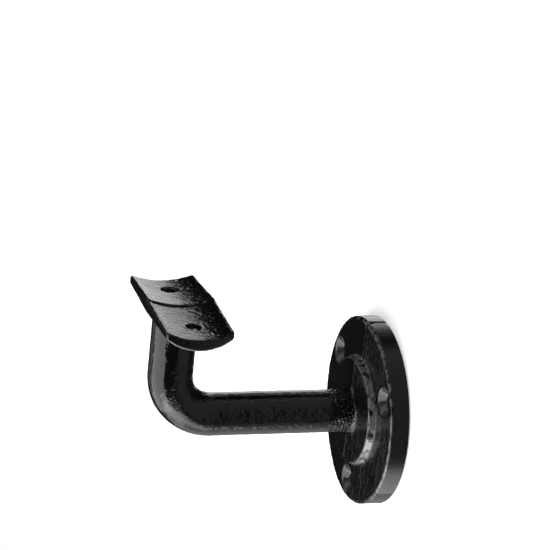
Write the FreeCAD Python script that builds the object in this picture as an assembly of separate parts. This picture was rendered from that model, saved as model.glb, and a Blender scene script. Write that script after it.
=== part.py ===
import FreeCAD, Part
import math
import os

# Wall bracket for a round handrail: one iron casting, in millimetres.
# The back of the wall plate is the plane Y = 0 and the wall is on its +Y side.
# The arm stands out along -Y, the neck rises along +Z, and the rail runs along X.
# The origin is the centre of the plate's back face.

V = FreeCAD.Vector
OUTWARD = V(0, -1, 0)
UP = V(0, 0, 1)

# Wall plate: a disc whose front face falls away slightly on both sides of the
# mould line at X = 0, so each half leaves its half of the mould.
plate_diameter = 66.0
plate_edge_thickness = 6.8
mould_draft = 0.024
plate_front_round = 0.8
plate_back_round = 0.4

# Raised boss around the foot of the arm; its side leans in by the taper.
boss_base_diameter = 39.2
boss_taper = 1.0
boss_height = 2.5
boss_foot_round = 0.6

# Three countersunk screw holes, one of them straight below the arm.
screw_circle_diameter = 53.0
screw_hole_diameter = 5.2
countersink_diameter = 10.0
countersink_angle = 90.0
screw_angles = (30.0, 150.0, 270.0)

# Arm, elbow and neck.
arm_diameter = 15.0
neck_diameter = 15.5
projection = 76.2
bend_radius = 15.5
arm_foot_round = 1.4

# Saddle under the rail: a crescent in section, thickest and widest on the mould line
# and drafted to its two ends: the seat falls, the underside rises and the sides close in.
rail_diameter = 54.0
rail_clearance = 0.4
seat_height = 39.8
saddle_length = 54.8
saddle_width = 23.8
saddle_end_taper = 0.9
seat_end_drop = 1.0
underside_end_rise = 1.1
underside_radius = 17.5
saddle_middle_thickness = 6.4
saddle_toward_wall = 1.5
saddle_end_bow = 0.7
saddle_corner_round = 1.4
saddle_rim_round = 0.6
neck_top_round = 0.9
seat_cover = 0.8
rail_hole_diameter = 5.4
rail_hole_spacing = 33.0

# Sizes that follow from the ones above.
plate_radius = plate_diameter / 2
ridge_rise = mould_draft * plate_radius
boss_slope = boss_taper / boss_height
ring_edge_slack = 0.1
seat_radius = rail_diameter / 2 + rail_clearance
saddle_axis_y = -projection + saddle_toward_wall
big = 4 * plate_diameter


def face_depth(x):
    """How far the plate's front face stands from the wall at this X."""
    return plate_edge_thickness + mould_draft * (plate_radius - abs(x))


def roof_block(rise):
    """Block on the wall whose front has the plate's two drafted faces, moved out by rise."""
    side = face_depth(plate_radius) + rise
    middle = face_depth(0) + rise
    corners = [V(-plate_radius, 0, -big), V(plate_radius, 0, -big), V(plate_radius, -side, -big),
               V(0, -middle, -big), V(-plate_radius, -side, -big)]
    outline = Part.makePolygon(corners + corners[:1])
    return Part.Face(outline).extrude(UP * (2 * big))


def edges_where(shape, test):
    """Edges of a shape whose every sampled point passes a test."""
    found = []
    for edge in shape.Edges:
        points = edge.discretize(9)
        if all(test(p) for p in points):
            found.append(edge)
    return found


def ring_edges(shape, rise, radius, slope):
    """Edges that ring the arm on the drafted faces moved out by rise, where the
    ring's own wall leans by slope, so its radius changes a little from side to side."""
    spread = ring_edge_slack + slope * ridge_rise
    return edges_where(shape, lambda p: abs(-p.y - face_depth(p.x) - rise) < 0.01
                       and abs(math.hypot(p.x, p.z) - radius) < spread)


def make_plate():
    disc = Part.makeCylinder(plate_radius, face_depth(0) + 1, V(0, 0, 0), OUTWARD)
    plate = disc.common(roof_block(0))
    rim = edges_where(plate, lambda p: abs(math.hypot(p.x, p.z) - plate_radius) < 0.01 and p.y < -1)
    plate = plate.makeFillet(plate_front_round, rim)
    back = edges_where(plate, lambda p: abs(p.y) < 0.01)
    return plate.makeFillet(plate_back_round, back)


def make_boss():
    low = face_depth(boss_base_diameter / 2)
    reach = boss_height + 2 * ridge_rise
    base_radius = boss_base_diameter / 2 + boss_slope * low
    top_radius = boss_base_diameter / 2 - boss_slope * reach
    cone = Part.makeCone(base_radius, top_radius, low + reach, V(0, 0, 0), OUTWARD)
    return cone.common(roof_block(boss_height))


def make_rod():
    """Arm, elbow and neck, the neck a little thicker than the arm."""
    elbow_y = -(projection - bend_radius)
    arm = Part.makeCylinder(arm_diameter / 2, -elbow_y - 1, V(0, -1, 0), OUTWARD)
    start = V(0, elbow_y, 0)
    end = V(0, -projection, bend_radius)
    centre = V(0, elbow_y, bend_radius)
    halfway = centre + V(0, -math.sin(math.pi / 4), -math.cos(math.pi / 4)) * bend_radius
    spine = Part.Wire([Part.Arc(start, halfway, end).toShape()])
    sweep = Part.BRepOffsetAPI.MakePipeShell(spine)
    sweep.add(Part.Wire([Part.makeCircle(arm_diameter / 2, start, OUTWARD)]))
    sweep.add(Part.Wire([Part.makeCircle(neck_diameter / 2, end, UP)]))
    sweep.build()
    sweep.makeSolid()
    elbow = sweep.shape()
    neck_top = seat_height - seat_cover
    neck = Part.makeCylinder(neck_diameter / 2, neck_top - bend_radius, end, UP)
    return arm.fuse([elbow, neck])


def saddle_half(side):
    """Half of the saddle from the mould line to the end on one side (+1 or -1)."""
    half = saddle_length / 2
    wide, narrow = saddle_width / 2, (saddle_width - saddle_end_taper) / 2
    y = saddle_axis_y
    corner = half - saddle_end_bow
    a, b = V(side * corner, y - narrow, 0), V(side * corner, y + narrow, 0)
    start, finish = V(0, y + wide, 0), V(0, y - wide, 0)
    plan = Part.Wire([Part.Arc(a, V(side * half, y, 0), b).toShape(), Part.makeLine(b, start),
                      Part.makeLine(start, finish), Part.makeLine(finish, a)])
    block = Part.Face(plan).extrude(UP * big)
    ends = [e for e in block.Edges if abs(e.CenterOfMass.x) > corner - 0.01
            and abs(e.tangentAt(e.FirstParameter).z) > 0.9]
    block = block.makeFillet(saddle_corner_round, ends)

    def bar(radius, low, end_rise):
        """Round bar along the rail whose lowest line starts at low and rises to the end."""
        along = V(side * half, 0, end_rise).normalize()
        return Part.makeCylinder(radius, 3 * half, V(0, y, low + radius) - along * half, along)

    crescent = block.common(bar(underside_radius, seat_height - saddle_middle_thickness, underside_end_rise))
    return crescent.cut(bar(seat_radius, seat_height, -seat_end_drop))


def make_saddle():
    saddle = saddle_half(1).fuse(saddle_half(-1))
    rim = []
    for edge in saddle.Edges:
        upright = abs(edge.tangentAt((edge.FirstParameter + edge.LastParameter) / 2).z) > 0.9
        on_mould_line = all(abs(p.x) < 0.01 for p in edge.discretize(5))
        if not upright and not on_mould_line:
            rim.append(edge)
    return saddle.makeFillet(saddle_rim_round, rim)


def screw_hole(angle):
    """Countersunk hole through the plate, opening on the arm's side."""
    radius = screw_circle_diameter / 2
    x = radius * math.cos(math.radians(angle))
    z = radius * math.sin(math.radians(angle))
    drill = Part.makeCylinder(screw_hole_diameter / 2, 2 * plate_edge_thickness, V(x, 1, z), OUTWARD)
    half_tan = math.tan(math.radians(countersink_angle / 2))
    depth = (countersink_diameter - screw_hole_diameter) / 2 / half_tan
    mouth = face_depth(x)
    extra = 2.0
    cone = Part.makeCone(screw_hole_diameter / 2, countersink_diameter / 2 + extra * half_tan,
                         depth + extra, V(x, -(mouth - depth), z), OUTWARD)
    return drill.fuse(cone)


def rail_hole(x):
    """Plain hole up through the saddle for a rail screw."""
    bottom = seat_height - 2 * saddle_middle_thickness
    return Part.makeCylinder(rail_hole_diameter / 2, 4 * saddle_middle_thickness,
                             V(x, saddle_axis_y, bottom), UP)


os.makedirs("parts", exist_ok=True)
plate = make_plate().fuse(make_boss())
plate = plate.makeFillet(boss_foot_round, ring_edges(plate, 0, boss_base_diameter / 2, boss_slope))
casting = plate.fuse(make_rod())
casting = casting.makeFillet(arm_foot_round, ring_edges(casting, boss_height, arm_diameter / 2, 0))
casting = casting.fuse(make_saddle())
neck_top = edges_where(casting, lambda p: p.z > seat_height - 2 * saddle_middle_thickness
                       and abs(math.hypot(p.x, p.y + projection) - neck_diameter / 2) < 0.02)
casting = casting.makeFillet(neck_top_round, neck_top)
holes = [screw_hole(angle) for angle in screw_angles]
holes += [rail_hole(side * rail_hole_spacing / 2) for side in (-1, 1)]
casting = casting.cut(holes).removeSplitter()
casting.exportStep("parts/bracket_casting.step")
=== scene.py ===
import math

import bmesh
import bpy
import numpy as np
from mathutils import Euler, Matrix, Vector, noise


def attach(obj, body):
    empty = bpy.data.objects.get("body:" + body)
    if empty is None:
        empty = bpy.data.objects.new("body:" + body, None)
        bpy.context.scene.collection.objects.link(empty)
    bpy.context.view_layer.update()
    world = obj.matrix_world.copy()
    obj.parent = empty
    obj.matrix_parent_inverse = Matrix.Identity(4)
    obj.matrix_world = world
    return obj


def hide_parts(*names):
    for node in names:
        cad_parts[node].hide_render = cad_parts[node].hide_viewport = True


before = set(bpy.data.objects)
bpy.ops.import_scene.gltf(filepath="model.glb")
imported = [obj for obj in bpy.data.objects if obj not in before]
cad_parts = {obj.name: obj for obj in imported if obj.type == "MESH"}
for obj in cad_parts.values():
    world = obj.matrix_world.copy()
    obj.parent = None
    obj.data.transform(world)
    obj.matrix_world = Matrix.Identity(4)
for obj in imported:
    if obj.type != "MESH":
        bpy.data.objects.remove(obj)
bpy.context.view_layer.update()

# ---------------------------------------------------------------------------
# The casting: wall plate, boss, arm, elbow, neck and saddle in one piece of
# sand-cast iron. The two halves of the mould met on the plane X = 0, which
# left a thin fin on the round parts and a small step across the saddle.
# ---------------------------------------------------------------------------
MM = 0.001
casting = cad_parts["bracket_casting"]

# Sizes of the solid that the finish keeps to, in millimetres.
plate_radius = 33.0
plate_edge_thickness = 6.8
boss_radius = 19.6
arm_radius = 7.5
screw_circle_radius = 26.5
screw_angles = (30, 150, 270)
countersink_radius = 5.0
seat_height = 39.8
saddle_half_length = 27.4
saddle_axis_y = -74.7
rail_hole_radius = 2.7
rail_hole_x = 16.5

# Plate and boss lie within this distance of the wall, and grit lies on the arm's foot.
plate_and_boss_depth = 12.0
foot_start = 10.2
foot_end = 21.0

skin_step = 0.45

# A welded copy of the solid is turned into an even skin, pulled back to the
# true surface, then eased so its edges are as soft as thick paint leaves them.
welded = casting.data.copy()
shell = bmesh.new()
shell.from_mesh(welded)
bmesh.ops.remove_doubles(shell, verts=shell.verts, dist=0.001 * MM)
bmesh.ops.recalc_face_normals(shell, faces=shell.faces)
shell.to_mesh(welded)
shell.free()
pattern = bpy.data.objects.new("casting_pattern", welded)
bpy.context.scene.collection.objects.link(pattern)

skin = bpy.data.objects.new("cast_iron_skin", welded.copy())
bpy.context.scene.collection.objects.link(skin)
remesh = skin.modifiers.new("even_skin", "REMESH")
remesh.mode = "VOXEL"
remesh.voxel_size = skin_step * MM
cling = skin.modifiers.new("true_surface", "SHRINKWRAP")
cling.target = pattern
cling.wrap_method = "NEAREST_SURFACEPOINT"
ease = skin.modifiers.new("paint_rounding", "SMOOTH")
ease.factor = 0.5
ease.iterations = 3
bpy.context.view_layer.update()
depsgraph = bpy.context.evaluated_depsgraph_get()
skin_mesh = bpy.data.meshes.new_from_object(skin.evaluated_get(depsgraph))
skin.modifiers.clear()
skin.data = skin_mesh
bpy.data.objects.remove(pattern)


def ramp(value, low, high):
    """0 below low, 1 above high, with a smooth rise between."""
    t = np.clip((value - low) / (high - low), 0.0, 1.0)
    return t * t * (3 - 2 * t)


def roughness_of(points, size, seed):
    """Noise from -1 to 1 at points in millimetres, with grains of a given size along X, Y and Z."""
    scaled = points / np.array(size) + seed
    return np.array([noise.noise(Vector(p)) for p in scaled])


count = len(skin_mesh.vertices)
co = np.empty(count * 3, dtype=np.float32)
skin_mesh.vertices.foreach_get("co", co)
co = co.reshape(-1, 3).astype(float)
out = np.empty(count * 3, dtype=np.float32)
skin_mesh.vertex_normals.foreach_get("vector", out)
out = out.reshape(-1, 3).astype(float)
p = co / MM
x, y, z = p[:, 0], p[:, 1], p[:, 2]
from_axis = np.hypot(x, z)
lift = np.zeros(count)

# Regions of the plate and boss, each 1 inside and 0 outside.
on_plate = ramp(y, -plate_and_boss_depth - 1.0, -plate_and_boss_depth)
on_face = on_plate * ramp(-out[:, 1], 0.93, 0.98)
on_rim = ramp(np.hypot(out[:, 0], out[:, 2]), 0.90, 0.98)
on_rim *= ramp(from_axis, plate_radius - 2.0, plate_radius - 1.0)
front_edge = on_plate * ramp(from_axis, plate_radius - 1.2, plate_radius - 0.7)
front_edge *= 1 - ramp(y, -plate_edge_thickness + 0.2, -plate_edge_thickness + 0.8)
bevel = on_plate * ramp(from_axis, boss_radius - 1.4, boss_radius - 0.9)
bevel *= 1 - ramp(from_axis, boss_radius + 0.2, boss_radius + 0.7)
bevel *= ramp(-y, plate_edge_thickness + 0.6, plate_edge_thickness + 1.0)
on_back = ramp(y, -1.2, -0.5) * ramp(out[:, 1], 0.5, 0.8)
in_countersink = np.zeros(count)
for angle in screw_angles:
    hole_x = screw_circle_radius * math.cos(math.radians(angle))
    hole_z = screw_circle_radius * math.sin(math.radians(angle))
    from_screw = np.hypot(x - hole_x, z - hole_z)
    round_screw = 1 - ramp(from_screw, countersink_radius - 0.1, countersink_radius + 0.3)
    in_countersink = np.maximum(in_countersink, round_screw)
in_countersink *= ramp(-y, 1.0, 3.0)

# Regions of the arm and of the saddle.
at_foot = ramp(-y, foot_start, foot_start + 0.8) * (1 - ramp(-y, foot_end - 6.0, foot_end))
at_foot *= 1 - ramp(from_axis, arm_radius + 0.8, arm_radius + 1.8)
inside_elbow = ramp(-y, 55.0, 60.0) * ramp(z, 5.5, 8.0) * (1 - ramp(z, 19.0, 24.0))
inside_elbow *= ramp(out[:, 1], -0.3, 0.3)
on_saddle = ramp(z, seat_height - 3.2, seat_height - 2.4)
on_top = on_saddle * ramp(out[:, 2], 0.55, 0.8)
wall_side = on_top * ramp(y, saddle_axis_y + 3.2, saddle_axis_y + 6.7)
from_rail_hole = np.hypot(np.abs(x) - rail_hole_x, y - saddle_axis_y)
in_rail_hole = on_saddle * (1 - ramp(from_rail_hole, rail_hole_radius + 0.2, rail_hole_radius + 0.6))
end_roll = ramp(x, saddle_half_length - 1.5, saddle_half_length - 0.9)
end_roll *= ramp(-out[:, 2], 0.15, 0.35) * (1 - ramp(-out[:, 2], 0.85, 0.97))

# From here to the back, each line raises or sinks the skin in millimetres. Its noise
# is given by the size of its grains in millimetres and by a seed of its own.

# Sand-cast surface: slow waves, then grains softened by the paint, lower on the plate.
lift += 0.055 * roughness_of(p, (9.0, 9.0, 9.0), 11.3)
lift += 0.022 * roughness_of(p, (3.1, 3.1, 3.1), 4.7)
lift += 0.058 * roughness_of(p, (1.3, 1.3, 1.3), 7.9) * (1 - 0.7 * on_plate)

# The plate's front is dressed with upright strokes.
lift += 0.034 * on_face * roughness_of(p, (1.0, 4.0, 11.0), 2.1)

# Grit gathers where the arm meets the boss.
lift += 0.10 * at_foot * roughness_of(p, (1.3, 1.3, 1.3), 31.0)
lift += 0.07 * at_foot * roughness_of(p, (0.85, 0.85, 0.85), 3.3)

# The plate's front edge and the boss's bevel are uneven, and the bevel is pocked.
lift += 0.12 * front_edge * roughness_of(p, (1.1, 1.1, 1.6), 61.0)
lift += 0.05 * bevel * roughness_of(p, (1.4, 1.4, 2.4), 67.0)
lift -= 0.30 * bevel * ramp(roughness_of(p, (2.2, 2.2, 4.0), 71.0), 0.25, 0.55)

# Mould line: a thin fin on plate, boss, arm and neck, coarsest inside the elbow.
fin_width = 0.34
ragged = 0.65 + 0.5 * roughness_of(p, (50.0, 2.2, 2.2), 17.0)
fin = np.exp(-(x / fin_width) ** 2) * ragged
lift += 0.10 * fin * (1 - on_saddle)
lift += 0.16 * fin * inside_elbow * (0.6 + roughness_of(p, (4.0, 1.0, 1.0), 8.0))
lift += 0.15 * inside_elbow * roughness_of(p, (0.95, 1.5, 1.5), 83.0)

# Thick paint narrows the two rail holes.
lift += 0.2 * in_rail_hole * ramp(np.hypot(out[:, 0], out[:, 1]), 0.6, 0.9)

# The two halves of the rim meet in a low ridge at the top and bottom, a little out of
# step, and the front edge is chipped there.
ridge = 0.22 * np.clip(1 - np.abs(x) / 14.0, 0, 1)
step = 0.10 - 0.26 * ramp(x, -0.2, 0.35)
lift += on_rim * (ridge + step)
chip_x = 0.6
chip_y = -6.9
chip = np.exp(-((x - chip_x) / 0.9) ** 2 - ((y - chip_y) / 1.1) ** 2)
lift -= 0.55 * chip * ramp(from_axis, plate_radius - 2.0, plate_radius - 0.6)

# Saddle: the far half stands a little proud of the near half, with a groove between.
seam = x - 0.35 * roughness_of(p, (60.0, 7.0, 60.0), 5.0)
lift += on_top * (0.14 - 0.28 * ramp(seam, -0.25, 0.3))
lift -= 0.26 * on_top * np.exp(-((seam - 0.1) / 0.36) ** 2)

# The seat keeps curved drag marks across it, and pits toward the wall.
drag_middle_y = -74.0
drag_bow = 0.0045
across = p.copy()
across[:, 0] += drag_bow * (y - drag_middle_y) ** 2
lift += 0.050 * on_top * roughness_of(across, (0.95, 5.0, 5.0), 40.0)
lift += 0.030 * on_top * roughness_of(across, (0.65, 1.8, 3.0), 44.0)
lift -= 0.20 * wall_side * ramp(roughness_of(p, (0.9, 2.2, 2.2), 51.0), 0.10, 0.5)

# The back is ground flat to sit on the wall.
lift *= 1 - on_back

co += out * (lift * MM)[:, None]
skin_mesh.vertices.foreach_set("co", co.astype(np.float32).ravel())
skin_mesh.polygons.foreach_set("use_smooth", np.ones(len(skin_mesh.polygons), dtype=bool))

# What the paint needs to know: where grit shows through it, where grey is painted on as a highlight, and
# where it dried satin, round the rim.
# Painted highlight: ragged patches of the plate's front edge and the boss's bevel, and more faintly the
# countersinks and the saddle's rolled ends, are marked to get a painted-on grey.
edge_painted_highlight = front_edge * ramp(roughness_of(p, (1.4, 1.4, 2.4), 63.0), -0.2, 0.15)
bevel_painted_highlight = bevel * ramp(roughness_of(p, (1.6, 1.6, 3.2), 77.0), -0.35, 0.0)
grit_shows = 0.10 + 0.12 * on_top - 0.06 * on_rim + 0.9 * at_foot + 0.2 * inside_elbow
painted_highlight_weight = np.clip(bevel_painted_highlight + 0.2 * in_countersink + 0.6 * edge_painted_highlight + 0.5 * end_roll, 0, 1)
dried_satin = on_rim * (1 - front_edge)
for name, amount in (("grit", grit_shows), ("thin", painted_highlight_weight), ("satin", dried_satin)):
    layer = skin_mesh.attributes.new(name, "FLOAT", "POINT")
    layer.data.foreach_set("value", amount.astype(np.float32))
skin_mesh.update()


def linear(hex_colour):
    """An sRGB hex colour as the linear colour the shader wants."""
    parts = [int(hex_colour[i:i + 2], 16) / 255 for i in (1, 3, 5)]
    return tuple(c / 12.92 if c <= 0.04045 else ((c + 0.055) / 1.055) ** 2.4 for c in parts) + (1.0,)


def add_node(tree, kind, settings=None, inputs=None):
    """Adds one node with its settings; an input is a value or a (node, output) pair."""
    node = tree.nodes.new(kind)
    for name, value in (settings or {}).items():
        setattr(node, name, value)
    for name, value in (inputs or {}).items():
        if isinstance(value, tuple) and len(value) == 2 and isinstance(value[0], bpy.types.Node):
            tree.links.new(value[0].outputs[value[1]], node.inputs[name])
        else:
            node.inputs[name].default_value = value
    return node


# Gloss enamel brushed thickly over sand-cast iron: near black, mirror-like where the
# paint has levelled, broken by grit under a millimetre wide and by fine nibs of dust.
grit_size = 0.85 * MM
grit_height = 0.75 * MM
swell_size = 6.0 * MM
nib_spacing = 3.4 * MM
nib_height = 0.10 * MM
paint = bpy.data.materials.new("gloss_enamel_on_sand_cast_iron")
paint.use_nodes = True
tree = paint.node_tree
tree.nodes.clear()
place = add_node(tree, "ShaderNodeTexCoord")
gritty = add_node(tree, "ShaderNodeAttribute", {"attribute_name": "grit"})
thin = add_node(tree, "ShaderNodeAttribute", {"attribute_name": "thin"})
satin = add_node(tree, "ShaderNodeAttribute", {"attribute_name": "satin"})
grit = add_node(tree, "ShaderNodeTexNoise", {},
                {"Vector": (place, "Object"), "Scale": 1 / grit_size, "Detail": 1.0, "Roughness": 0.4})
swell = add_node(tree, "ShaderNodeTexNoise", {},
                 {"Vector": (place, "Object"), "Scale": 1 / swell_size, "Detail": 2.0})
nibs = add_node(tree, "ShaderNodeTexVoronoi", {},
                {"Vector": (place, "Object"), "Scale": 1 / nib_spacing})
nib = add_node(tree, "ShaderNodeMapRange", {"interpolation_type": "SMOOTHSTEP"},
               {"Value": (nibs, "Distance"), "From Min": 0.09, "From Max": 0.02})
tint = add_node(tree, "ShaderNodeMixRGB", {},
                {"Fac": (swell, "Fac"), "Color1": linear("#070606"), "Color2": linear("#0d0b0c")})
# Painted highlight: a mid grey is mixed into the near-black colour where the painted-highlight attribute
# is high, and the IOR is raised there too.
grey_painted_highlight = add_node(tree, "ShaderNodeMixRGB", {},
                  {"Fac": (thin, "Fac"), "Color1": (tint, "Color"), "Color2": linear("#6a6969")})
level = add_node(tree, "ShaderNodeMapRange", {},
                 {"Value": (swell, "Fac"), "From Min": 0.3, "From Max": 0.7,
                  "To Min": 0.09, "To Max": 0.15})
sheen = add_node(tree, "ShaderNodeMapRange", {},
                 {"Value": (satin, "Fac"), "To Min": (level, "Result"), "To Max": 0.24})
index = add_node(tree, "ShaderNodeMapRange", {},
                 {"Value": (thin, "Fac"), "To Min": 1.5, "To Max": 1.75})
depth = add_node(tree, "ShaderNodeMath", {"operation": "MULTIPLY"},
                 {0: (gritty, "Fac"), 1: grit_height})
relief = add_node(tree, "ShaderNodeBump", {},
                  {"Distance": (depth, "Value"), "Height": (grit, "Fac")})
specks = add_node(tree, "ShaderNodeBump", {},
                  {"Distance": nib_height, "Height": (nib, "Result"), "Normal": (relief, "Normal")})
coat = add_node(tree, "ShaderNodeBsdfPrincipled", {},
                {"Base Color": (grey_painted_highlight, "Color"), "Roughness": (sheen, "Result"),
                 "Normal": (specks, "Normal"), "IOR": (index, "Result")})
add_node(tree, "ShaderNodeOutputMaterial", {}, {"Surface": (coat, "BSDF")})

skin_mesh.materials.clear()
skin_mesh.materials.append(paint)
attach(skin, "root")
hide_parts("bracket_casting")

# ---------------------------------------------------------------------------
# The wall behind the plate: plain white, and it keeps the bracket's soft shadow.
# Its back is clear, so the bracket can be looked at from behind.
# ---------------------------------------------------------------------------
wall_half_width = 0.6
wall_gap = 0.3 * MM
upright = Euler((math.radians(90), 0, 0)).to_matrix()
wall_shape = bmesh.new()
bmesh.ops.create_grid(wall_shape, x_segments=1, y_segments=1, size=wall_half_width)
bmesh.ops.rotate(wall_shape, verts=wall_shape.verts, matrix=upright)
bmesh.ops.translate(wall_shape, verts=wall_shape.verts, vec=(0, wall_gap, 0))
wall_mesh = bpy.data.meshes.new("wall")
wall_shape.to_mesh(wall_mesh)
wall_shape.free()
wall = bpy.data.objects.new("wall", wall_mesh)
bpy.context.scene.collection.objects.link(wall)
wall.visible_glossy = False

plaster = bpy.data.materials.new("white_plaster")
plaster.use_nodes = True
tree = plaster.node_tree
tree.nodes.clear()
matt = add_node(tree, "ShaderNodeBsdfDiffuse", {}, {"Color": linear("#f4f4f4")})
path = add_node(tree, "ShaderNodeLightPath")
half_light = add_node(tree, "ShaderNodeMath", {"operation": "MULTIPLY"},
                      {0: (path, "Is Camera Ray"), 1: 0.5})
glow = add_node(tree, "ShaderNodeEmission", {}, {"Strength": (half_light, "Value")})
white = add_node(tree, "ShaderNodeAddShader", {}, {0: (matt, "BSDF"), 1: (glow, "Emission")})
side = add_node(tree, "ShaderNodeNewGeometry")
clear = add_node(tree, "ShaderNodeBsdfTransparent")
facing = add_node(tree, "ShaderNodeMixShader", {},
                  {0: (side, "Backfacing"), 1: (white, "Shader"), 2: (clear, "BSDF")})
add_node(tree, "ShaderNodeOutputMaterial", {}, {"Surface": (facing, "Shader")})
wall_mesh.materials.append(plaster)

# ---------------------------------------------------------------------------
# Studio: a white room to the eye, and soft boxes around a dim room for the gloss.
# Each box is given by the direction it stands in, the angle it fills and its brightness.
# ---------------------------------------------------------------------------
room = bpy.data.worlds.new("studio")
bpy.context.scene.world = room
room.use_nodes = True
tree = room.node_tree
tree.nodes.clear()
direction = add_node(tree, "ShaderNodeTexCoord")
parts = add_node(tree, "ShaderNodeSeparateXYZ", {}, {"Vector": (direction, "Generated")})
turn = add_node(tree, "ShaderNodeMath", {"operation": "ARCTAN2"}, {0: (parts, "Y"), 1: (parts, "X")})
rise = add_node(tree, "ShaderNodeMath", {"operation": "ARCSINE"}, {0: (parts, "Z")})


def patch(turns, rises, brightness, blur):
    """A soft-edged patch of the room between two azimuths and two elevations, in degrees."""
    product = None
    for angle, (low, high) in ((turn, turns), (rise, rises)):
        for edge, inward in ((low, 1), (high, -1)):
            side = add_node(tree, "ShaderNodeMapRange", {"interpolation_type": "SMOOTHSTEP"},
                            {"Value": (angle, "Value"),
                             "From Min": math.radians(edge - inward * blur),
                             "From Max": math.radians(edge + inward * blur),
                             "To Max": brightness if product is None else 1.0})
            if product is None:
                product = (side, "Result")
            else:
                both = add_node(tree, "ShaderNodeMath", {"operation": "MULTIPLY"},
                                {0: product, 1: (side, "Result")})
                product = (both, "Value")
    return product


dim_room = 0.02
light = dim_room
for turns, rises, brightness, blur in (
        ((17, 84), (-26, 95), 0.31, 5),       # near part of the wall
        ((84, 122), (50, 95), 0.40, 7),       # wall above the arm
        ((8, 185), (-95, -31), 0.32, 8),      # floor, in three steps down to the table
        ((14, 185), (-95, -44), 0.32, 10),
        ((20, 185), (-95, -66), 0.50, 9),
        ((-175, -25), (-95, -64), 1.60, 4),   # table below the front
        ((-190, 190), (80, 95), 2.00, 2),     # lamp overhead
        ((-150, -128), (-60, 30), 0.45, 2),   # far side of the room
        ((145, 154), (-24, -8), 3.00, 2),     # far part of the wall, in two steps up
        ((146, 167), (-5, 35), 1.70, 0.7),
        ((140, 168), (37, 49), 0.35, 3)):
    total = add_node(tree, "ShaderNodeMath", {"operation": "ADD"},
                     {0: patch(turns, rises, brightness, blur), 1: light})
    light = (total, "Value")
path = add_node(tree, "ShaderNodeLightPath")
seen = add_node(tree, "ShaderNodeBackground", {}, {"Color": (1.0, 1.0, 1.0, 1.0), "Strength": 1.0})
felt = add_node(tree, "ShaderNodeBackground", {}, {"Color": (1.0, 0.985, 0.985, 1.0), "Strength": light})
either = add_node(tree, "ShaderNodeMixShader", {},
                  {0: (path, "Is Camera Ray"), 1: (felt, "Background"), 2: (seen, "Background")})
add_node(tree, "ShaderNodeOutputWorld", {}, {"Surface": (either, "Shader")})


def soft_box(name, azimuth, elevation, wide, tall, brightness, distance=1.2,
             centre=(0.0, -0.04, 0.01)):
    """An area light that fills wide by tall degrees as seen from centre, toward two angles."""
    data = bpy.data.lights.new(name, "AREA")
    data.shape = "RECTANGLE"
    data.size = 2 * distance * math.tan(math.radians(wide) / 2)
    data.size_y = 2 * distance * math.tan(math.radians(tall) / 2)
    data.energy = brightness * math.pi * data.size * data.size_y
    box = bpy.data.objects.new(name, data)
    around = math.radians(azimuth)
    up = math.radians(elevation)
    toward = Vector((math.cos(up) * math.cos(around), math.cos(up) * math.sin(around), math.sin(up)))
    box.location = Vector(centre) + toward * distance
    box.rotation_euler = toward.to_track_quat("Z", "Y").to_euler()
    box.visible_camera = False
    bpy.context.scene.collection.objects.link(box)


soft_box("front_low_box", -85, -30, 68, 66, 2.7)
soft_box("front_corner", -34, -53, 34, 26, 2.3)
soft_box("front_high_box", -86, 40, 90, 26, 0.9)
soft_box("table_bounce", -30, -62, 56, 34, 1.9)
soft_box("near_strip", -22, -50, 12, 52, 0.8, distance=0.2, centre=(0.017, -0.009, -0.008))

# ---------------------------------------------------------------------------
# Camera: a long lens, from the near side and a little above the arm.
# ---------------------------------------------------------------------------
camera_data = bpy.data.cameras.new("camera")
camera_data.lens = 134.41
camera_data.sensor_width = 36.0
camera = bpy.data.objects.new("camera", camera_data)
camera.location = (0.61697, -0.25727, 0.28353)
camera.rotation_euler = Euler((math.radians(70.2804), math.radians(-5.9592), math.radians(72.9592)))
bpy.context.scene.collection.objects.link(camera)
bpy.context.scene.camera = camera
bpy.context.scene.view_settings.view_transform = "Standard"
